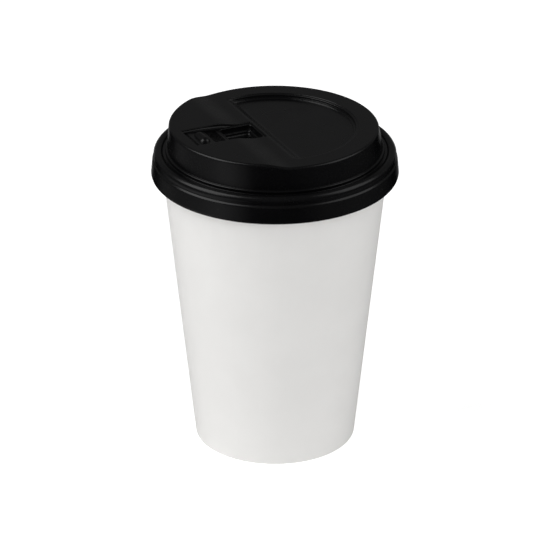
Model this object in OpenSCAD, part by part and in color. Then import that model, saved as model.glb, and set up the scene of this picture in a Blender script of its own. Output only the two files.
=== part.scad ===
// Paper coffee cup with a dome sip lid
// The cup is a wrapped paper wall with a rolled rim and a hemmed foot, closed by a flanged disc.
// The lid is one formed sheet of plastic with a hinged sip tab that folds back into a pocket.
// Millimetres, +Z up, origin on the cup's axis at the foot, sip tab towards -X.

/* [Cup] */
// Height from the foot to the top of the rolled rim
cup_h = 117.6; // [105:0.1:130]
// Outer diameter of the foot
foot_d = 60.8; // [56:0.1:66]
// Outer diameter of the rolled rim
rim_d = 89.5; // [88:0.1:91]
// Diameter of the rolled rim's section
roll_d = 2.2; // [2:0.1:3]
// Thickness of the wall paper
wall_t = 0.4; // [0.3:0.05:0.5]
// Width of the glued overlap of the side seam
seam_w = 7; // [5:0.5:10]
// Direction of the side seam round the axis
seam_angle = 60; // [0:5:180]

/* [Foot] */
// Thickness of the bottom disc's paper
disc_t = 0.35; // [0.25:0.05:0.45]
// Height of the bottom disc above the foot
foot_depth = 7.5; // [6.5:0.5:10]
// Height of the hem folded up inside the foot
hem_h = 6; // [4:0.5:6]
// Rounding of the fold at the foot
heel_r = 0.9; // [0.6:0.1:1]

/* [Lid] */
// Thickness of the lid's sheet
lid_t = 0.45; // [0.35:0.05:0.5]
// How far the skirt stands out from the rim
skirt_out = 1.75; // [1.4:0.05:2.4]
// Depth of the skirt's lower edge under the rim's top
skirt_drop = 10; // [9:0.1:11]
// Rounding of the skirt's turned lower edge
lip_r = 1.5; // [1.2:0.1:1.8]
// Depth of the skirt's ridge under the rim's top
ridge_drop = 5; // [4.4:0.1:6]
// How far the skirt's ridge stands out from the neck
ridge_out = 0.7; // [0.4:0.1:1]
// Depth of the neck under the rim's top
neck_drop = 3; // [2.8:0.1:3.4]
// Depth of the sealing groove under the bead's top
groove_drop = 0.9; // [0.6:0.1:1]
// Distance from the rim's edge in to the ledge
ledge_in = 3.65; // [3.4:0.05:4]
// Height of the ledge over the rim's top
ledge_rise = 1.3; // [1:0.1:1.6]
// Width of the ledge at the foot of the dome
ledge_w = 0.65; // [0.5:0.05:1]
// Taper of the dome's wall, from the ledge to the ring's top
dome_taper = 1.65; // [1:0.05:3]
// Height of the ring's top over the rim's top
ring_rise = 9.6; // [8:0.1:12]
// Width of the ring round the sunken panel
ring_w = 9.1; // [7:0.1:11]
// Rounding of the dome's top edge
edge_r = 1.2; // [0.8:0.1:1.6]
// Depth of the sunken panel under the ring's top
panel_drop = 1.7; // [1:0.1:2.5]
// Draft of the panel's side wall
panel_draft = 0.6; // [0.4:0.1:1.4]

/* [Spout] */
// Length of the spout, from where it begins to rise to the dome's edge
spout_l = 29; // [28:0.1:30]
// Tilt of the rise up to the spout's level top
spout_tilt = 9.5; // [7:0.1:11]
// Height of the spout's top over the ring's top
spout_h = 1.5; // [1.2:0.05:1.8]
// How far the spout's tip stands out over the slope of the dome's wall
spout_out = 1; // [0.6:0.1:1.2]
// Rounding of the spout's edge
spout_edge_r = 1.5; // [1.2:0.1:1.8]
// Length of the ramp between the panel and the spout
ramp_l = 3.2; // [2.6:0.1:4]
// Flat strip between the ramp and the rise of the spout
ramp_gap = 3.4; // [3:0.1:4]
// Width of the channel that holds the tab and the pocket
channel_w = 14.6; // [14:0.1:16]
// Depth of the channel's floor under the ring's top
channel_drop = 0.3; // [0.2:0.05:0.5]

/* [Sip tab] */
// Distance from the dome's edge in to the tab's hinge
hinge_in = 18; // [17:0.1:19]
// Tilt of the tab and of the channel's floor under it
tab_tilt = 4; // [3:0.1:5]
// Width of the tab
tab_w = 12.6; // [12:0.1:13]
// Length of the tab from its hinge to its tip
tab_l = 12.6; // [12:0.1:13]
// Length of the tab's flat root beside the hinge
root_l = 1.1; // [1:0.1:1.4]
// Length of the trough's floor across the tab
trough_l = 3.2; // [2.8:0.1:3.4]
// Depth of the trough
trough_depth = 1.8; // [1.4:0.1:2]
// Length of each sloping side of the trough
trough_side = 0.7; // [0.5:0.1:0.8]
// Distance from the hinge to the middle of the locking boss
boss_u = 9; // [8.8:0.1:9.4]
// Radius of the locking boss
boss_r = 2.1; // [1.8:0.1:2.2]
// Length of the locking boss across the tab
boss_l = 9; // [8:0.1:10]
// Height of the locking boss over the tab
boss_h = 1.6; // [1.2:0.1:1.8]

/* [Pocket] */
// Length of the pocket along the tab
pocket_l = 12.8; // [12:0.1:13]
// Width of the pocket
pocket_w = 12.6; // [12:0.1:13]
// Strip between the pocket and the tab's hinge
pocket_gap = 0.6; // [0.5:0.1:0.8]
// Depth of the pocket's upper step under the ring's top
pocket_step = 2.6; // [2.4:0.1:2.8]
// Width of the step round the pocket
step_w = 0.8; // [0.6:0.1:1]
// Depth of the pocket's floor under the ring's top
pocket_depth = 4.8; // [4.4:0.1:5]
// Rounding of the pocket's corners
pocket_r = 1.4; // [1.2:0.1:2]

/* [Fits] */
// Gap between glued layers of paper
paper_gap = 0.05; // [0.02:0.01:0.08]
// Gap between the lid's bead and the rolled rim
bead_gap = 0.25; // [0.2:0.05:0.3]
// Gap between the lid's neck and the rolled rim
neck_gap = 0.15; // [0.1:0.05:0.2]
// Width of the cut round the sip tab
slit_w = 0.3; // [0.2:0.05:0.4]
// Width of the finger gap at the tab's tip
tip_gap = 1.2; // [0.8:0.1:1.4]
// Ledge between the finger gap and the channel's end
end_gap = 0.4; // [0.3:0.1:0.6]
// Height of the tab's hinge axis over the channel's floor
hinge_rise = 0.25; // [0.2:0.05:0.4]

/* [Hidden] */
$fn = 96;

// Overshoot of cutting solids past the faces that they cut
through = 1;
// Reach of prisms and blocks that are trimmed by another solid
reach = 0.7 * rim_d;

// Rolled rim and wall
roll_r = roll_d / 2;
roll_c = [rim_d / 2 - roll_r, cup_h - roll_r];
roll_end = -110;
wall_slope = (roll_c[0] - roll_r + wall_t - foot_d / 2) / roll_c[1];
seam_t = wall_t * 0.75;
seam_top = cup_h - 2 * roll_d;
function wall_r(z) = foot_d / 2 + wall_slope * z;

// Layers of the foot, from the wall inwards
flange_out = wall_t + paper_gap;
flange_in = flange_out + disc_t;
hem_out = flange_in + paper_gap;
hem_in = hem_out + wall_t;

// Rounded fold at the foot, about a circle that touches the wall and the ground
wall_lean = atan(wall_slope);
heel_c = [wall_r(heel_r) - heel_r / cos(wall_lean), heel_r];

// Heights of the lid
bead_r = roll_r + bead_gap + lid_t;
skirt_z = cup_h - skirt_drop;
ridge_z = cup_h - ridge_drop;
neck_z = cup_h - neck_drop;
groove_z = roll_c[1] + bead_r - groove_drop;
ledge_z = cup_h + ledge_rise;
ring_z = cup_h + ring_rise;
panel_z = ring_z - panel_drop;

// Radii of the lid, from the rim inwards
skirt_r = rim_d / 2 + skirt_out;
neck_r = rim_d / 2 + neck_gap + lid_t;
ridge_r = neck_r + ridge_out;
ledge_r = rim_d / 2 - ledge_in;
dome_foot_r = ledge_r - ledge_w;
dome_top_r = dome_foot_r - dome_taper;
panel_r = dome_top_r - ring_w;

// Turned lower edge of the skirt: how far it turns in, and the lean of the skirt where it begins
lip_turn = 75;
lip_lean = 5;
lip_c = [skirt_r - lip_r, skirt_z + lip_r * sin(lip_turn)];

// Dome wall, a cone through the ledge and the top edge
dome_slope = dome_taper / (ring_z - ledge_z);
function dome_r(z) = dome_top_r + dome_slope * (ring_z - z);

// Rise of the spout and the ramp before it
spout_start = dome_top_r - spout_l;
spout_rise = tan(spout_tilt);
ramp_foot = spout_start - ramp_gap - ramp_l;
ramp_slope = panel_drop / ramp_l;

// Channel floor, hinge and pocket
hinge_u = dome_top_r - hinge_in;
function channel_z(u) = ring_z - channel_drop + tan(tab_tilt) * max(u - hinge_u, 0);
hinge_z = channel_z(hinge_u) + hinge_rise;
pocket_u = hinge_u - pocket_gap - pocket_l / 2;
window_l = tab_l + tip_gap;
trough_in = root_l + trough_side;
trough_out = trough_in + trough_l;

// Rounding of the dome's top edge: lean of its last facet and number of facets
edge_lean = 25;
edge_steps = 4;
cap_h = ring_z - groove_z + lid_t;

// Circle of the rise's edge, through the dome's wall at the tip and where the rise begins
cap_tip_u = (dome_top_r + spout_out + dome_slope * spout_rise * spout_start) / (1 + dome_slope * spout_rise);
cap_tip = (cap_tip_u - spout_start) / cos(spout_tilt);
cap_side = sqrt(pow(dome_top_r, 2) - pow(spout_start, 2));
cap_c = (cap_tip * cap_tip - cap_side * cap_side) / 2 / cap_tip;

// Points of an arc about c from one angle to another
function arc(c, r, from, to, steps = 10) =
    [for (i = [0:steps]) c + r * [cos(from + (to - from) * i / steps), sin(from + (to - from) * i / steps)]];

// Outline of the lid's rim, from the skirt over the bead to the dome's ledge, moved inwards by d
function rim_outline(d) = concat(
    d > 0
        ? [[0, skirt_z - through], [lip_c[0] + (lip_r - d) * cos(lip_turn), skirt_z - through]]
        : [[0, skirt_z]],
    arc(lip_c, lip_r - d, -lip_turn, lip_lean, 6),
    [
        [ridge_r - d, ridge_z],
        [neck_r - d, neck_z]
    ],
    arc(roll_c, bead_r - d,
        -acos((neck_r - d - roll_c[0]) / (bead_r - d)),
        180 - asin((groove_z - d - roll_c[1]) / (bead_r - d))),
    [
        [ledge_r - d, groove_z - d],
        [ledge_r - d, ledge_z - d],
        [0, ledge_z - d]
    ]
);

// Plate of length l and width w with rounded corners, in the plane
module rounded_plate(l, w, r) {
    square([l, w - 2 * r], center = true);
    square([l - 2 * r, w], center = true);
    for (x = [-1, 1], y = [-1, 1])
        translate([x * (l / 2 - r), y * (w / 2 - r)])
            circle(r = r);
}

// Block under a roof line drawn in the plane of the spout's tilt
module roof_block(line) {
    floor_z = groove_z - lid_t;
    first_x = line[0][0];
    last_x = line[len(line) - 1][0];
    rotate([90, 0, 0])
        linear_extrude(height = 2 * reach, center = true)
            polygon(concat([[first_x, floor_z]], line, [[last_x, floor_z]]));
}

// Round cap with a flat top at z = 0 and an edge of radius r over the dome's wall, moved inwards by d
module edge_cap(top_r, r, d) {
    centre_r = top_r + dome_slope * r * (1 - sin(edge_lean)) - r * cos(edge_lean);
    foot_r = centre_r + (r - d + (cap_h - r) * sin(edge_lean)) / cos(edge_lean);
    rotate_extrude()
        polygon(concat(
            [[0, -cap_h], [foot_r, -cap_h]],
            arc([centre_r, -r], r - d, edge_lean, 90, edge_steps),
            [[0, -d]]
        ));
}

// Cone of the dome's wall, moved inwards by d
module dome_cone(d) {
    top_z = ring_z + spout_h + through;
    rotate_extrude()
        polygon([
            [0, groove_z - d],
            [dome_r(groove_z - d) - d, groove_z - d],
            [dome_r(top_z) - d, top_z],
            [0, top_z]
        ]);
}

// Dome, steeper under the spout's tip, cut to the ring and to the spout's rise and top, moved inwards by d
module dome(d) {
    top_z = ring_z + spout_h;
    intersection() {
        union() {
            dome_cone(d);
            intersection() {
                translate([-spout_out, 0, 0])
                    dome_cone(d);
                translate([0, 0, groove_z - d])
                    cylinder(r = dome_foot_r - d, h = reach);
            }
        }
        union() {
            translate([0, 0, ring_z])
                edge_cap(dome_top_r, edge_r, d);
            intersection() {
                translate([-spout_start, 0, ring_z])
                    rotate([0, spout_tilt, 0])
                        translate([-cap_c, 0, 0])
                            edge_cap(cap_tip - cap_c, spout_edge_r, d);
                translate([-spout_out, 0, top_z])
                    edge_cap(dome_r(top_z), spout_edge_r, d);
                translate([-reach - spout_start, -reach, groove_z - lid_t])
                    cube([reach, 2 * reach, reach]);
            }
        }
    }
}

// Sunken centre panel that ends in a ramp before the spout, grown by d
module panel_recess(d) {
    ramp_z = panel_z - d * sqrt(1 + ramp_slope * ramp_slope);
    difference() {
        rotate_extrude()
            polygon([
                [0, panel_z - d],
                [panel_r - panel_draft + d, panel_z - d],
                [panel_r + panel_draft * through / panel_drop + d, ring_z - d + through],
                [0, ring_z - d + through]
            ]);
        roof_block([
            [ramp_l - ramp_foot, ramp_z - ramp_slope * ramp_l],
            [-ramp_foot - reach, ramp_z + ramp_slope * reach]
        ]);
    }
}

// Channel in the spout for the tab and the pocket, grown by d
module channel(d) {
    end_u = hinge_u + window_l + end_gap + d;
    top_z = ring_z + spout_h + through;
    rotate([90, 0, 0])
        linear_extrude(height = channel_w + 2 * d, center = true)
            polygon([
                [-ramp_foot, channel_z(ramp_foot) - d],
                [-hinge_u, channel_z(hinge_u) - d],
                [-end_u, channel_z(end_u) - d],
                [-end_u, top_z],
                [-ramp_foot, top_z]
            ]);
}

// Stepped pocket for the folded tab's boss, grown by d
module pocket(d) {
    top_z = hinge_z + through;
    translate([-pocket_u, 0, 0]) {
        translate([0, 0, ring_z - pocket_step - d])
            linear_extrude(height = top_z - ring_z + pocket_step + d)
                rounded_plate(pocket_l + 2 * d, pocket_w + 2 * d, pocket_r + d);
        translate([0, 0, ring_z - pocket_depth - d])
            linear_extrude(height = top_z - ring_z + pocket_depth + d)
                rounded_plate(
                    pocket_l - 2 * step_w + 2 * d,
                    pocket_w - 2 * step_w + 2 * d,
                    pocket_r - step_w + d
                );
    }
}

// Solid bounded by the lid's top surface, moved inwards by d
module lid_form(d) {
    difference() {
        union() {
            rotate_extrude()
                polygon(rim_outline(d));
            dome(d);
        }
        panel_recess(d);
        channel(d);
        pocket(d);
    }
}

// Rounded bar of the locking boss in the tab's own frame, moved inwards by d
module boss_bar(d) {
    half = boss_l / 2 - boss_r;
    translate([-boss_u, 0, boss_h - boss_r]) {
        rotate([90, 0, 0])
            cylinder(r = boss_r - d, h = 2 * half, center = true);
        for (side = [-1, 1])
            translate([0, side * half, 0])
                sphere(r = boss_r - d);
    }
}

// Paper wall, from the hem inside the foot to the rolled rim
module sidewall() {
    color("white") {
        rotate_extrude()
            polygon(concat(
                [[wall_r(0) - hem_in, 0]],
                arc(heel_c, heel_r, -90, -wall_lean, 6),
                arc(roll_c, roll_r - wall_t, 180, roll_end, 24),
                arc(roll_c, roll_r, roll_end, 180, 24),
                [
                    [wall_r(wall_t) - wall_t, wall_t],
                    [wall_r(wall_t) - hem_out, wall_t],
                    [wall_r(hem_h) - hem_out, hem_h],
                    [wall_r(hem_h) - hem_in, hem_h]
                ]
            ));
        // Outer layer of the glued side seam
        seam_span = seam_w / wall_r(seam_top) * 180 / PI;
        rotate([0, 0, seam_angle - seam_span / 2])
            rotate_extrude(angle = seam_span)
                polygon([
                    [wall_r(heel_r) - wall_t / 2, heel_r],
                    [wall_r(heel_r) + seam_t, heel_r],
                    [wall_r(seam_top) + seam_t, seam_top],
                    [wall_r(seam_top) - wall_t / 2, seam_top]
                ]);
    }
}

// Bottom disc with its flange turned down between the wall and the hem
module bottom_disc() {
    flange_z = wall_t + paper_gap;
    disc_z = foot_depth + disc_t;
    color("whitesmoke")
        rotate_extrude()
            polygon([
                [0, foot_depth],
                [wall_r(foot_depth) - flange_in, foot_depth],
                [wall_r(flange_z) - flange_in, flange_z],
                [wall_r(flange_z) - flange_out, flange_z],
                [wall_r(disc_z) - flange_out, disc_z],
                [0, disc_z]
            ]);
}

// Formed lid with its skirt, bead, dome, ring, panel, spout, channel and pocket
module lid() {
    color([0.06, 0.06, 0.06])
        difference() {
            lid_form(0);
            lid_form(lid_t);
            // Window that the sip tab closes
            translate([-hinge_u - window_l, -tab_w / 2 - slit_w, panel_z])
                cube([window_l, tab_w + 2 * slit_w, reach]);
        }
}

// Sip tab with its trough and hollow locking boss
module sip_tab() {
    color([0.08, 0.08, 0.08])
        translate([-hinge_u, 0, hinge_z - hinge_rise])
            rotate([0, tab_tilt, 0])
                difference() {
                    union() {
                        rotate([90, 0, 0])
                            linear_extrude(height = tab_w, center = true)
                                polygon([
                                    [-slit_w, 0],
                                    [-root_l, 0],
                                    [-trough_in, -trough_depth],
                                    [-trough_out, -trough_depth],
                                    [-trough_out - trough_side, 0],
                                    [-tab_l, 0],
                                    [-tab_l, -lid_t],
                                    [-trough_out - trough_side - lid_t, -lid_t],
                                    [-trough_out - lid_t, -trough_depth - lid_t],
                                    [-trough_in + lid_t, -trough_depth - lid_t],
                                    [-root_l + lid_t, -lid_t],
                                    [-slit_w, -lid_t]
                                ]);
                        intersection() {
                            boss_bar(0);
                            translate([-boss_u, 0, reach / 2 - lid_t])
                                cube([2 * boss_r + through, boss_l + through, reach], center = true);
                        }
                    }
                    boss_bar(lid_t);
                }
}

sidewall();
bottom_disc();
lid();
sip_tab();
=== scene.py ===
"""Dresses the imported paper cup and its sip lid, and sets up the studio round them.

Lengths are in metres; a name that ends in _mm and every size of the lid are in millimetres. The
part's frame is kept: +Z is up, the origin lies on the cup's axis at its foot, and the lid's sip tab
points towards -X. On the lid, u is the distance from the axis towards the tab.
"""

import logging
import math
from dataclasses import dataclass
from enum import Enum
from typing import Any, Callable, Dict, List, Optional, Sequence, Tuple

import bmesh
import bpy
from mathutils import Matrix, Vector

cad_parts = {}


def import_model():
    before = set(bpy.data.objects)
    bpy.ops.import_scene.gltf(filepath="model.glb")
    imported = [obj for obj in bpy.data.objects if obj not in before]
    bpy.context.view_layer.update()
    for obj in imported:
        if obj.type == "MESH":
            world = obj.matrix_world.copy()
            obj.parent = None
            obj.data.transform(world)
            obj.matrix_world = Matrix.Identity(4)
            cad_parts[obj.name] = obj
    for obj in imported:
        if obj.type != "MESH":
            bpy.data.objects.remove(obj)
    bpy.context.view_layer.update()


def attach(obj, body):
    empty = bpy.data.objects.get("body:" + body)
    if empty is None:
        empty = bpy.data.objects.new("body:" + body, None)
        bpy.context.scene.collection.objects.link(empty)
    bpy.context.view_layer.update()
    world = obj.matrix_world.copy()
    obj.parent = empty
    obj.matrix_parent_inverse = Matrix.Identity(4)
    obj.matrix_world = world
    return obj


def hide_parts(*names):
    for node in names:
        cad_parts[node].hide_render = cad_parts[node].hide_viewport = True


LOG = logging.getLogger("paper_cup")
MM = 0.001
WHITE = "#FFFFFF"
# Points closer than WELD_MM are merged, and faces that meet at less than FLAT_DEG are made one.
WELD_MM = 0.002
FLAT_DEG = 0.5

Edges = List[bmesh.types.BMEdge]
Span = Tuple[float, float]


class Body(Enum):
    """The bodies that the pieces ride on."""

    CUP = "cup"
    LID = "lid"
    TAB = "tab"


class Way(Enum):
    """Directions in the studio, as the camera sees it."""

    RIGHT = "right"
    TOWARDS = "towards"
    UP = "up"


def linear(hex_colour: str) -> Tuple[float, float, float, float]:
    """Turns an sRGB hex colour into the linear colour that a shader takes.

    Args:
        hex_colour: the colour as six hex digits after a hash.

    Returns:
        Red, green, blue and an alpha of one.
    """
    digits = hex_colour.lstrip("#")
    channels = [int(digits[i:i + 2], 16) / 255 for i in (0, 2, 4)]
    red, green, blue = [c / 12.92 if c <= 0.04045 else ((c + 0.055) / 1.055) ** 2.4
                        for c in channels]
    return red, green, blue, 1.0


def add_node(tree: bpy.types.NodeTree, kind: str, settings: Optional[Dict[str, Any]] = None,
             **inputs: Any) -> bpy.types.Node:
    """Adds one shader node with its settings and links.

    Args:
        tree: the node tree that takes the node.
        kind: the node's type name.
        settings: properties of the node itself.
        inputs: values or output sockets for the node's inputs, with underscores for spaces.

    Returns:
        The new node.
    """
    node = tree.nodes.new(kind)
    for name, value in (settings or {}).items():
        setattr(node, name, value)
    for name, value in inputs.items():
        socket = node.inputs[name.replace("_", " ")]
        if isinstance(value, bpy.types.NodeSocket):
            tree.links.new(value, socket)
        else:
            socket.default_value = value
    return node


def per_metre(size_mm: float) -> float:
    """Scale of a pattern on Object coordinates whose features are size_mm across."""
    return 1 / (size_mm * MM)


def ease(value: float, span: Span) -> float:
    """Share of a move that starts softly where a span begins and stops softly where it ends."""
    share = min(max((value - span[0]) / (span[1] - span[0]), 0.0), 1.0)
    return share * share * (3 - 2 * share)


@dataclass(frozen=True)
class CoatedPaperboard:
    """White paperboard with a thin waterproof coating, calendered smooth and printed on no side.

    The coating leaves a soft, broad sheen; the fibres under it show as a faint cloudiness and a
    very shallow unevenness.
    """

    name: str = "coated_paperboard"
    colour: str = "#E8E7E5"
    shade: str = "#E6E5E3"
    roughness: float = 0.5
    ior: float = 1.47
    cloud_mm: float = 14.0
    cloud_detail: float = 3.0
    cloud_span: Span = (0.35, 0.65)
    # Fibre flocks are about 0.3 mm wide; they are drawn at 1.2 mm so that they show in the render.
    fibre_mm: float = 1.2
    fibre_detail: float = 2.0
    fibre_depth_mm: float = 0.012
    fibre_strength: float = 0.35

    def make(self) -> bpy.types.Material:
        """Builds the material.

        Returns:
            The new material.
        """
        material = bpy.data.materials.new(self.name)
        material.use_nodes = True
        tree = material.node_tree
        shader = tree.nodes["Principled BSDF"]
        place = add_node(tree, "ShaderNodeTexCoord").outputs["Object"]
        cloud = add_node(tree, "ShaderNodeTexNoise", Vector=place, Scale=per_metre(self.cloud_mm),
                         Detail=self.cloud_detail)
        tones = add_node(tree, "ShaderNodeValToRGB", Fac=cloud.outputs["Fac"])
        stops = zip(tones.color_ramp.elements, self.cloud_span, (self.shade, self.colour))
        for stop, position, colour in stops:
            stop.position = position
            stop.color = linear(colour)
        tree.links.new(tones.outputs["Color"], shader.inputs["Base Color"])
        fibre = add_node(tree, "ShaderNodeTexNoise", Vector=place, Scale=per_metre(self.fibre_mm),
                         Detail=self.fibre_detail)
        relief = add_node(tree, "ShaderNodeBump", Height=fibre.outputs["Fac"],
                          Strength=self.fibre_strength, Distance=self.fibre_depth_mm * MM)
        tree.links.new(relief.outputs["Normal"], shader.inputs["Normal"])
        shader.inputs["Roughness"].default_value = self.roughness
        shader.inputs["IOR"].default_value = self.ior
        return material


@dataclass(frozen=True)
class FormedPolystyrene:
    """Black polystyrene sheet, heated and drawn over a mould.

    The side that met the mould is satin; drawing leaves it slightly uneven, so that highlights
    waver.
    """

    name: str = "formed_polystyrene"
    colour: str = "#070708"
    ior: float = 1.5
    specular: float = 0.28
    smooth: float = 0.22
    rough: float = 0.30
    patch_mm: float = 9.0
    patch_detail: float = 2.0
    patch_span: Span = (0.3, 0.7)
    ripple_mm: float = 5.0
    ripple_depth_mm: float = 0.02
    # Mould grain is near 0.1 mm; it is drawn at 0.5 mm so that it shows in the render.
    grain_mm: float = 0.5
    grain_depth_mm: float = 0.004
    relief_detail: float = 1.0
    relief_strength: float = 0.5

    def make(self) -> bpy.types.Material:
        """Builds the material.

        Returns:
            The new material.
        """
        material = bpy.data.materials.new(self.name)
        material.use_nodes = True
        tree = material.node_tree
        shader = tree.nodes["Principled BSDF"]
        place = add_node(tree, "ShaderNodeTexCoord").outputs["Object"]
        patch = add_node(tree, "ShaderNodeTexNoise", Vector=place, Scale=per_metre(self.patch_mm),
                         Detail=self.patch_detail)
        gloss = add_node(tree, "ShaderNodeMapRange", Value=patch.outputs["Fac"],
                         From_Min=self.patch_span[0], From_Max=self.patch_span[1],
                         To_Min=self.smooth, To_Max=self.rough)
        tree.links.new(gloss.outputs["Result"], shader.inputs["Roughness"])
        ripple = add_node(tree, "ShaderNodeTexNoise", Vector=place, Scale=per_metre(self.ripple_mm),
                          Detail=self.relief_detail)
        grain = add_node(tree, "ShaderNodeTexNoise", Vector=place, Scale=per_metre(self.grain_mm),
                         Detail=self.relief_detail)
        wave = add_node(tree, "ShaderNodeBump", Height=ripple.outputs["Fac"],
                        Strength=self.relief_strength, Distance=self.ripple_depth_mm * MM)
        skin = add_node(tree, "ShaderNodeBump", Height=grain.outputs["Fac"],
                        Strength=self.relief_strength, Distance=self.grain_depth_mm * MM,
                        Normal=wave.outputs["Normal"])
        tree.links.new(skin.outputs["Normal"], shader.inputs["Normal"])
        shader.inputs["Base Color"].default_value = linear(self.colour)
        shader.inputs["IOR"].default_value = self.ior
        shader.inputs["Specular IOR Level"].default_value = self.specular
        return material


@dataclass(frozen=True)
class OpalTable:
    """White opal acrylic of a light table, lit from below so that no shadow shows on it."""

    name: str = "opal_acrylic"
    colour: str = "#F6F6F6"
    roughness: float = 0.9
    specular: float = 0.0
    glow: float = 0.64

    def make(self) -> bpy.types.Material:
        """Builds the material.

        Returns:
            The new material.
        """
        material = bpy.data.materials.new(self.name)
        material.use_nodes = True
        shader = material.node_tree.nodes["Principled BSDF"]
        shader.inputs["Base Color"].default_value = linear(self.colour)
        shader.inputs["Roughness"].default_value = self.roughness
        shader.inputs["Specular IOR Level"].default_value = self.specular
        shader.inputs["Emission Color"].default_value = linear(WHITE)
        shader.inputs["Emission Strength"].default_value = self.glow
        return material


def as_object(mesh: bmesh.types.BMesh, name: str) -> bpy.types.Object:
    """Puts a finished mesh into the scene.

    Args:
        mesh: the mesh, which is freed.
        name: the object's name.

    Returns:
        The new object.
    """
    data = bpy.data.meshes.new(name)
    mesh.to_mesh(data)
    mesh.free()
    made = bpy.data.objects.new(name, data)
    bpy.context.scene.collection.objects.link(made)
    return made


def shade_evenly(piece: bpy.types.Object) -> None:
    """Shades a piece by its large faces, so that its roundings don't bend the flats' reflections.

    Args:
        piece: the piece, with its other modifiers in place.
    """
    for face in piece.data.polygons:
        face.use_smooth = True
    normals = piece.modifiers.new("normals", "WEIGHTED_NORMAL")
    normals.keep_sharp = True


def softened_copy(node: str, edge_mm: float, sharp_deg: float, steps: int) -> bpy.types.Object:
    """Copies a CAD node and rounds its sharp edges, as the real sheet has them.

    Args:
        node: the CAD node's name.
        edge_mm: how far the rounding reaches from each edge.
        sharp_deg: the least angle between two faces that counts as an edge.
        steps: the number of steps across the rounding.

    Returns:
        The new piece, in the node's place.
    """
    mesh = bmesh.new()
    mesh.from_mesh(bpy.data.objects[node].data)
    bmesh.ops.remove_doubles(mesh, verts=mesh.verts, dist=WELD_MM * MM)
    bmesh.ops.dissolve_limit(mesh, angle_limit=math.radians(FLAT_DEG), verts=mesh.verts,
                             edges=mesh.edges)
    sharp = math.radians(sharp_deg)
    edges = [e for e in mesh.edges if e.is_manifold and e.calc_face_angle() > sharp]
    bmesh.ops.bevel(mesh, geom=edges, offset=edge_mm * MM, offset_type="OFFSET", affect="EDGES",
                    segments=steps, profile=0.5, material=-1, clamp_overlap=True)
    piece = as_object(mesh, node + "_dressed")
    shade_evenly(piece)
    return piece


def dress(piece: bpy.types.Object, node: str, body: Body,
          material: bpy.types.Material) -> bpy.types.Object:
    """Gives a piece its material and its body, and hides the CAD node that it stands for.

    Args:
        piece: the piece.
        node: the CAD node that it replaces.
        body: the body that it rides on.
        material: the piece's material.

    Returns:
        The same piece.
    """
    piece.data.materials.append(material)
    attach(piece, body.value)
    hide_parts(node)
    return piece


@dataclass
class PaperCup:
    """The paper cup: its wrapped wall and its bottom disc."""

    edge_mm: float = 0.12
    edge_steps: int = 2
    sharp_deg: float = 30.0

    def build(self) -> List[bpy.types.Object]:
        """Makes and dresses the cup's pieces.

        Returns:
            The new pieces.
        """
        paper = CoatedPaperboard().make()
        pieces = []
        for node, slot in (("sidewall", "cup_paper"), ("bottom_disc", "disc_paper")):
            piece = softened_copy(node, self.edge_mm, self.sharp_deg, self.edge_steps)
            pieces.append(dress(piece, node, Body.CUP, paper))
        return pieces


@dataclass(frozen=True)
class Corner:
    """Corner of the lid's half section, the length that its rounding takes off, and its steps."""

    r: float
    z: float
    cut: float = 0.0
    steps: int = 4


@dataclass
class Opening:
    """Opening in a formed sheet, whose edge is drawn inwards and down step by step."""

    mesh: bmesh.types.BMesh
    rim: Edges
    centre_u: float
    length: float
    width: float

    def step(self, inset: float = 0.0, drop: float = 0.0,
             height: Optional[Callable[[float], float]] = None) -> None:
        """Draws the edge inwards and down by one step.

        Args:
            inset: how far each side moves inwards.
            drop: how far the edge goes down.
            height: the height to go to at each u, instead of a drop.
        """
        length, width = self.length - 2 * inset, self.width - 2 * inset
        made = bmesh.ops.extrude_edge_only(self.mesh, edges=self.rim)["geom"]
        for vert in [g for g in made if isinstance(g, bmesh.types.BMVert)]:
            x = -self.centre_u + (vert.co.x + self.centre_u) * length / self.length
            y = vert.co.y * width / self.width
            vert.co = (x, y, height(-x) if height else vert.co.z - drop)
        self.length, self.width = length, width
        self.rim = [g for g in made if isinstance(g, bmesh.types.BMEdge) and g.is_boundary]

    def round_over(self, radius: float, steps: int = 3) -> None:
        """Rounds the edge over into a wall.

        Args:
            radius: the rounding's radius.
            steps: the number of steps across it.
        """
        for number in range(steps):
            last, turn = [math.pi / 2 * k / steps for k in (number, number + 1)]
            self.step(radius * (math.sin(turn) - math.sin(last)),
                      radius * (math.cos(last) - math.cos(turn)))


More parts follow.
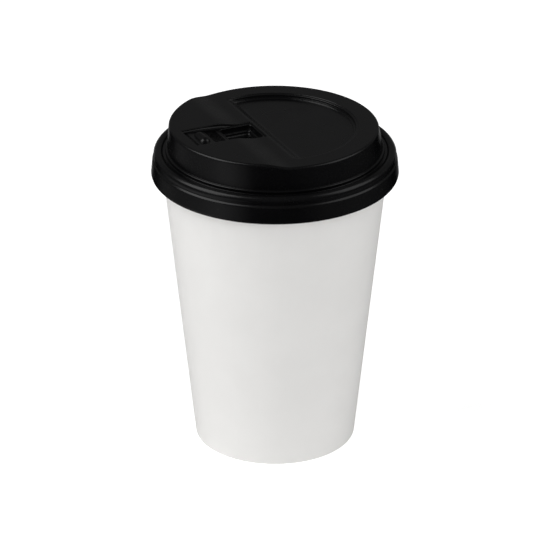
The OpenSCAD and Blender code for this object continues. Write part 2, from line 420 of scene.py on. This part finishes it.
@dataclass
class SipLid:
    """The formed lid and its hinged sip tab."""

    sheet: float = 0.45
    ring_z: float = 127.2
    panel_z: float = 125.5
    ledge_z: float = 118.9
    groove_z: float = 117.4
    # Half section of the upper side, from the lower edge to the middle of the panel
    section: Sequence[Corner] = (
        Corner(45.39, 107.6),  # lower edge, turned in
        Corner(46.6, 107.93, 1.25, 8),
        Corner(46.0, 114.35, 0.3),  # shoulder of the flared skirt
        Corner(45.3, 115.05, 0.35),  # neck under the rim's roll
        Corner(45.89, 117.455, 1.6, 10),  # bead over the roll
        Corner(42.91, 118.82, 1.6, 10),
        Corner(42.09, groove_z, 0.2, 3),  # sealing groove
        Corner(41.1, groove_z, 0.2, 3),
        Corner(41.1, ledge_z, 0.5, 6),  # ledge at the foot of the dome
        Corner(40.45, ledge_z, 0.12, 3),
        Corner(38.8, ring_z, 0.8, 8),  # ring on top of the dome
        Corner(31.2, ring_z, 0.12, 3),
        Corner(31.1, 126.97, 0.08, 3),  # steps of the ring's inner wall
        Corner(30.3, 126.93, 0.25),
        Corner(30.15, 126.0, 0.12, 3),
        Corner(29.35, 125.98, 0.22),
        Corner(29.2, panel_z, 0.15, 3),  # panel
        Corner(0.0, panel_z),
    )
    turns: int = 240
    mesh_step: float = 0.8
    # Spout: its rise along the tab, its lean over the wall, and the ramp that ends the panel
    rise_u: Span = (9.0, 19.4)
    rise_h: float = 1.5
    lean: float = 1.0
    lean_u: Span = (0.0, 12.0)
    ramp_u: Span = (2.2, 6.3)
    ramp_r: float = 31.6
    # Channel for the tab, level up to its bend and then tilted, and the window under the tab
    channel_u: Span = (6.9, 35.0)
    channel_w: float = 14.6
    channel_drop: float = 0.45
    bend_u: float = 20.65
    tilt_deg: float = 4.0
    window_u: Span = (20.8, 34.6)
    window_w: float = 13.2
    # Pocket for the tab's boss, with a step in its wall
    pocket_u: float = 13.8
    pocket_l: float = 12.8
    pocket_w: float = 12.6
    pocket_r: float = 1.6
    pocket_r_steps: int = 6
    step_z: float = 124.6
    step_w: float = 0.8
    pocket_z: float = 122.4
    draft: float = 0.1
    edge: float = 0.3
    tab_edge: float = 0.22
    tab_edge_steps: int = 3
    tab_sharp_deg: float = 28.0
    # Limits of the cut: how deep and how far round it faces are cut, and what is snapped or dropped
    cut_depth: float = 1.0
    cut_margin: float = 2.0
    cut_snap: float = 0.15
    sliver: float = 0.02

    def channel_z(self, u: float) -> float:
        """Height of the channel's floor at a distance u from the axis."""
        slope = math.tan(math.radians(self.tilt_deg))
        return self.ring_z - self.channel_drop + slope * max(u - self.bend_u, 0)

    def turned_sheet(self) -> bmesh.types.BMesh:
        """Turns the half section into the lid's upper side.

        Returns:
            The round sheet, still without its spout.
        """
        mesh = bmesh.new()
        verts = [mesh.verts.new((c.r, 0, c.z)) for c in self.section]
        for pair in zip(verts, verts[1:]):
            mesh.edges.new(pair)
        for corner, vert in zip(self.section, verts):
            if corner.cut:
                bmesh.ops.bevel(mesh, geom=[vert], offset=corner.cut, offset_type="OFFSET",
                                affect="VERTICES", segments=corner.steps, profile=0.5, material=-1)
        for edge in list(mesh.edges):
            cuts = int(edge.calc_length() / self.mesh_step)
            if cuts and max(v.co.z for v in edge.verts) > self.ledge_z:
                bmesh.ops.subdivide_edges(mesh, edges=[edge], cuts=cuts)
        bmesh.ops.spin(mesh, geom=mesh.verts[:] + mesh.edges[:], axis=(0, 0, 1), cent=(0, 0, 0),
                       angle=math.tau, steps=self.turns, use_merge=True)
        bmesh.ops.remove_doubles(mesh, verts=mesh.verts, dist=WELD_MM)
        return mesh

    def raise_spout(self, mesh: bmesh.types.BMesh) -> None:
        """Lifts and leans the side of the dome that holds the tab, and ends the panel in a ramp.

        Args:
            mesh: the round sheet.
        """
        for vert in mesh.verts:
            x, y, z = vert.co
            share = min(max((z - self.ledge_z) / (self.ring_z - self.ledge_z), 0), 1)
            if math.hypot(x, y) < self.ramp_r:
                z += (self.ring_z - z) * ease(-x, self.ramp_u)
                share = 1
            z += share * self.rise_h * ease(-x, self.rise_u)
            vert.co = (x - share * self.lean * ease(-x, self.lean_u), y, z)
        bmesh.ops.dissolve_degenerate(mesh, edges=mesh.edges, dist=self.sliver)

    def cut_channel(self, mesh: bmesh.types.BMesh) -> Opening:
        """Cuts the channel's opening in the top of the spout, wider by the rounding of its edge.

        Args:
            mesh: the sheet with its spout.

        Returns:
            The opening.
        """
        start, end = self.channel_u[0] - self.edge, self.channel_u[1] + self.edge
        width = self.channel_w + 2 * self.edge
        lowest = self.ring_z - self.cut_depth

        def near(place: Vector) -> bool:
            """Whether a place on the spout's top is close enough to be cut."""
            return (place.z > lowest and -place.x > start - self.cut_margin
                    and math.hypot(place.x, place.y) < end + self.cut_margin)

        def inside(place: Vector) -> bool:
            """Whether a place on the spout's top lies in the opening."""
            return place.z > lowest and start < -place.x < end and abs(place.y) < width / 2

        across = [((-u, 0, 0), (1, 0, 0)) for u in (start, self.bend_u, end)]
        along = [((0, side * width / 2, 0), (0, 1, 0)) for side in (1, -1)]
        for point, normal in across + along:
            faces = [f for f in mesh.faces if near(f.calc_center_median())]
            parts = {part for f in faces for part in (f, *f.edges, *f.verts)}
            bmesh.ops.bisect_plane(mesh, geom=list(parts), dist=self.cut_snap, plane_co=point,
                                   plane_no=normal, use_snap_center=True)
        gone = {f for f in mesh.faces if inside(f.calc_center_median())}
        border = {e for f in gone for e in f.edges if not gone.issuperset(e.link_faces)}
        verts = {v for e in border for v in e.verts}
        bmesh.ops.delete(mesh, geom=list(gone), context="FACES")
        rim = [e for e in mesh.edges if e.is_boundary and verts.issuperset(e.verts)]
        return Opening(mesh, rim, sum(self.channel_u) / 2, end - start, width)

    def outline(self, mesh: bmesh.types.BMesh, centre_u: float, length: float, width: float,
                corner: float = 0.0) -> Opening:
        """Draws the outline of an opening on the channel's floor.

        Args:
            mesh: the sheet.
            centre_u: the opening's middle along the tab.
            length: its length along the tab.
            width: its width.
            corner: the length that the rounding of each corner takes off.

        Returns:
            The opening.
        """
        others = {e for e in mesh.edges if e.is_wire}
        places = [(-centre_u + a * length / 2, b * width / 2)
                  for a, b in ((-1, -1), (1, -1), (1, 1), (-1, 1))]
        verts = [mesh.verts.new((x, y, self.channel_z(-x))) for x, y in places]
        for pair in zip(verts[-1:] + verts, verts):
            mesh.edges.new(pair)
        if corner:
            bmesh.ops.bevel(mesh, geom=verts, offset=corner, offset_type="OFFSET",
                            affect="VERTICES", segments=self.pocket_r_steps, profile=0.5,
                            material=-1)
        rim = [e for e in mesh.edges if e.is_wire and e not in others]
        return Opening(mesh, rim, centre_u, length, width)

    def split_floor(self, mesh: bmesh.types.BMesh, rim: Edges) -> Tuple[Edges, Edges]:
        """Thins the channel's lower edge out to its corners and divides it at the bend.

        Args:
            mesh: the sheet.
            rim: the edges round the channel's floor.

        Returns:
            The edges round the level part and round the tilted part.
        """
        verts = {v for e in rim for v in e.verts}
        right, left = [[min(verts, key=lambda v: math.hypot(v.co.x + u, v.co.y - y))
                        for u in (self.channel_u[0], self.bend_u, self.channel_u[1])]
                       for y in (-self.channel_w / 2, self.channel_w / 2)]
        bmesh.ops.dissolve_verts(mesh, verts=list(verts.difference(right, left)))
        bend = mesh.edges.new((right[1], left[1]))
        level, tilted = [(left[1], left[end], right[end], right[1]) for end in (0, 2)]
        return ([mesh.edges.get(pair) for pair in zip(level, level[1:])] + [bend],
                [mesh.edges.get(pair) for pair in zip(tilted, tilted[1:])] + [bend])

    def sink_channel(self, mesh: bmesh.types.BMesh) -> None:
        """Sinks the channel with the pocket and leaves the window under the tab open.

        Args:
            mesh: the sheet with its spout.
        """
        channel = self.cut_channel(mesh)
        channel.round_over(self.edge)
        channel.step(height=self.channel_z)
        level, tilted = self.split_floor(mesh, channel.rim)
        pocket = self.outline(mesh, self.pocket_u, self.pocket_l + 2 * self.edge,
                              self.pocket_w + 2 * self.edge, self.pocket_r)
        window = self.outline(mesh, sum(self.window_u) / 2, self.window_u[1] - self.window_u[0],
                              self.window_w)
        bmesh.ops.bridge_loops(mesh, edges=level + pocket.rim)
        bmesh.ops.bridge_loops(mesh, edges=tilted + window.rim)
        pocket.round_over(self.edge)
        pocket.step(self.draft, height=lambda u: self.step_z)
        pocket.step(self.step_w - self.edge)
        pocket.round_over(self.edge)
        pocket.step(self.draft, height=lambda u: self.pocket_z)
        bmesh.ops.holes_fill(mesh, edges=pocket.rim, sides=0)

    def shell(self) -> bpy.types.Object:
        """Models the lid as one formed sheet.

        Returns:
            The lid.
        """
        mesh = self.turned_sheet()
        self.raise_spout(mesh)
        self.sink_channel(mesh)
        bmesh.ops.recalc_face_normals(mesh, faces=mesh.faces)
        on_panel = Vector((self.ramp_r / 2, 0, self.panel_z))
        panel = min(mesh.faces, key=lambda f: (f.calc_center_median() - on_panel).length)
        if panel.normal.z < 0:
            bmesh.ops.reverse_faces(mesh, faces=mesh.faces)
        bmesh.ops.scale(mesh, vec=(MM, MM, MM), verts=mesh.verts)
        piece = as_object(mesh, "lid_dressed")
        wall = piece.modifiers.new("sheet", "SOLIDIFY")
        wall.thickness = self.sheet * MM
        wall.offset = -1
        shade_evenly(piece)
        return piece

    def build(self) -> List[bpy.types.Object]:
        """Makes and dresses the lid's pieces.

        Returns:
            The new pieces.
        """
        plastic = FormedPolystyrene().make()
        tab = softened_copy("sip_tab", self.tab_edge, self.tab_sharp_deg, self.tab_edge_steps)
        return [dress(self.shell(), "lid", Body.LID, plastic),
                dress(tab, "sip_tab", Body.TAB, plastic)]


@dataclass(frozen=True)
class Softbox:
    """One soft light, placed as the camera sees the cup; the lid mirrors it if it shines."""

    name: str
    right: float
    towards: float
    up: float
    width: float
    height: float
    watts: float
    shines: bool = True


@dataclass(frozen=True)
class Fade:
    """Change of the room's glow from one share of a direction to another.

    A glow of None is the one that the fades before this one give.
    """

    way: Way
    start: float
    end: float
    first: Optional[float]
    last: Optional[float]


@dataclass
class Studio:
    """Camera, lights, room and floor, laid out from the photograph's view."""

    azimuth_deg: float = -25.0
    elevation_deg: float = 25.57
    distance: float = 1.7
    lens_mm: float = 293.15
    sensor_mm: float = 36.0
    aim_up: float = 0.0654
    floor_size: float = 12.0
    boxes: Sequence[Softbox] = (
        Softbox("key_left", -1.15, 0.25, 1.15, 1.3, 1.3, 14.2),
        Softbox("fill_right", 1.25, 0.1, 1.1, 1.2, 1.2, 5.9),
        Softbox("front", 0.1, 2.2, 1.5, 1.6, 1.0, 10.8, False),
    )
    sky_glow: float = 0.11
    left_glow: float = 0.6
    right_glow: float = 0.12
    back_glow: float = 0.9
    fades: Sequence[Fade] = (
        Fade(Way.RIGHT, -0.75, -1.0, left_glow, right_glow),  # left wall, dim at its far end
        Fade(Way.RIGHT, -0.35, -0.75, 0.0, None),  # dark between the walls
        Fade(Way.RIGHT, 0.35, 0.75, None, right_glow),  # right wall
        Fade(Way.TOWARDS, -0.7, 0.1, 0.0, None),  # both walls only beside and before the cup
        Fade(Way.TOWARDS, -0.85, -0.99, None, back_glow),  # middle of the back wall
        Fade(Way.UP, 0.05, -0.2, 0.0, None),  # all the walls only low down
        Fade(Way.UP, -0.1, 0.2, None, sky_glow),  # room above
    )

    def axes(self) -> Tuple[Vector, Vector]:
        """The view's horizontal directions.

        Returns:
            The direction to the picture's right, and the one towards the camera along the floor.
        """
        turn = math.radians(self.azimuth_deg)
        right = Vector((math.cos(turn), math.sin(turn), 0))
        return right, Vector((math.sin(turn), -math.cos(turn), 0))

    def add_camera(self) -> None:
        """Places the camera at the photograph's viewpoint."""
        towards = self.axes()[1]
        lift = math.radians(self.elevation_deg)
        back = towards * math.cos(lift) + Vector((0, 0, math.sin(lift)))
        data = bpy.data.cameras.new("view")
        data.lens = self.lens_mm
        data.sensor_width = self.sensor_mm
        camera = bpy.data.objects.new("view", data)
        bpy.context.scene.collection.objects.link(camera)
        camera.location = Vector((0, 0, self.aim_up)) + back * self.distance
        camera.rotation_euler = (-back).to_track_quat("-Z", "Y").to_euler()
        bpy.context.scene.camera = camera

    def add_lights(self) -> None:
        """Adds the softboxes, each turned towards the cup."""
        right, towards = self.axes()
        aim = Vector((0, 0, self.aim_up))
        for box in self.boxes:
            data = bpy.data.lights.new(box.name, "AREA")
            data.shape = "RECTANGLE"
            data.size = box.width
            data.size_y = box.height
            data.energy = box.watts
            light = bpy.data.objects.new(box.name, data)
            bpy.context.scene.collection.objects.link(light)
            light.location = right * box.right + towards * box.towards + Vector((0, 0, box.up))
            light.rotation_euler = (aim - light.location).to_track_quat("-Z", "Y").to_euler()
            light.visible_glossy = box.shines

    def add_room(self) -> None:
        """Adds the dim room that the lid mirrors, with its glow worked out fade by fade."""
        world = bpy.data.worlds.new("room")
        world.use_nodes = True
        tree = world.node_tree
        place = add_node(tree, "ShaderNodeTexCoord").outputs["Generated"]
        shares: Dict[Way, bpy.types.NodeSocket] = {}
        for way, axis in zip(Way, (*self.axes(), Vector((0, 0, 1)))):
            share = add_node(tree, "ShaderNodeVectorMath", {"operation": "DOT_PRODUCT"},
                             Vector=place)
            share.inputs[1].default_value = axis
            shares[way] = share.outputs["Value"]
        glow: Any = 0.0
        for fade in self.fades:
            first, last = [glow if level is None else level for level in (fade.first, fade.last)]
            blend = add_node(tree, "ShaderNodeMapRange", Value=shares[fade.way],
                             From_Min=fade.start, From_Max=fade.end, To_Min=first, To_Max=last)
            glow = blend.outputs["Result"]
        background = tree.nodes["Background"]
        background.inputs["Color"].default_value = linear(WHITE)
        tree.links.new(glow, background.inputs["Strength"])
        bpy.context.scene.world = world

    def add_floor(self) -> None:
        """Lays the light table under the cup; the lid mirrors the room in its place."""
        mesh = bmesh.new()
        bmesh.ops.create_grid(mesh, x_segments=1, y_segments=1, size=self.floor_size / 2)
        floor = as_object(mesh, "floor")
        floor.data.materials.append(OpalTable().make())
        floor.visible_glossy = False

    def build(self) -> None:
        """Sets up the view, the light, the room and the floor."""
        self.add_camera()
        self.add_lights()
        self.add_room()
        self.add_floor()
        bpy.context.scene.view_settings.view_transform = "Standard"


def main() -> None:
    """Loads the frame, builds each sub-assembly in order and notes the sizes."""
    logging.basicConfig(level=logging.INFO, format="%(name)s: %(message)s")
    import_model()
    Studio().build()
    for assembly in (PaperCup(), SipLid()):
        for piece in assembly.build():
            LOG.info("%s: %d faces", piece.name, len(piece.data.polygons))


if __name__ == "__main__":
    main()
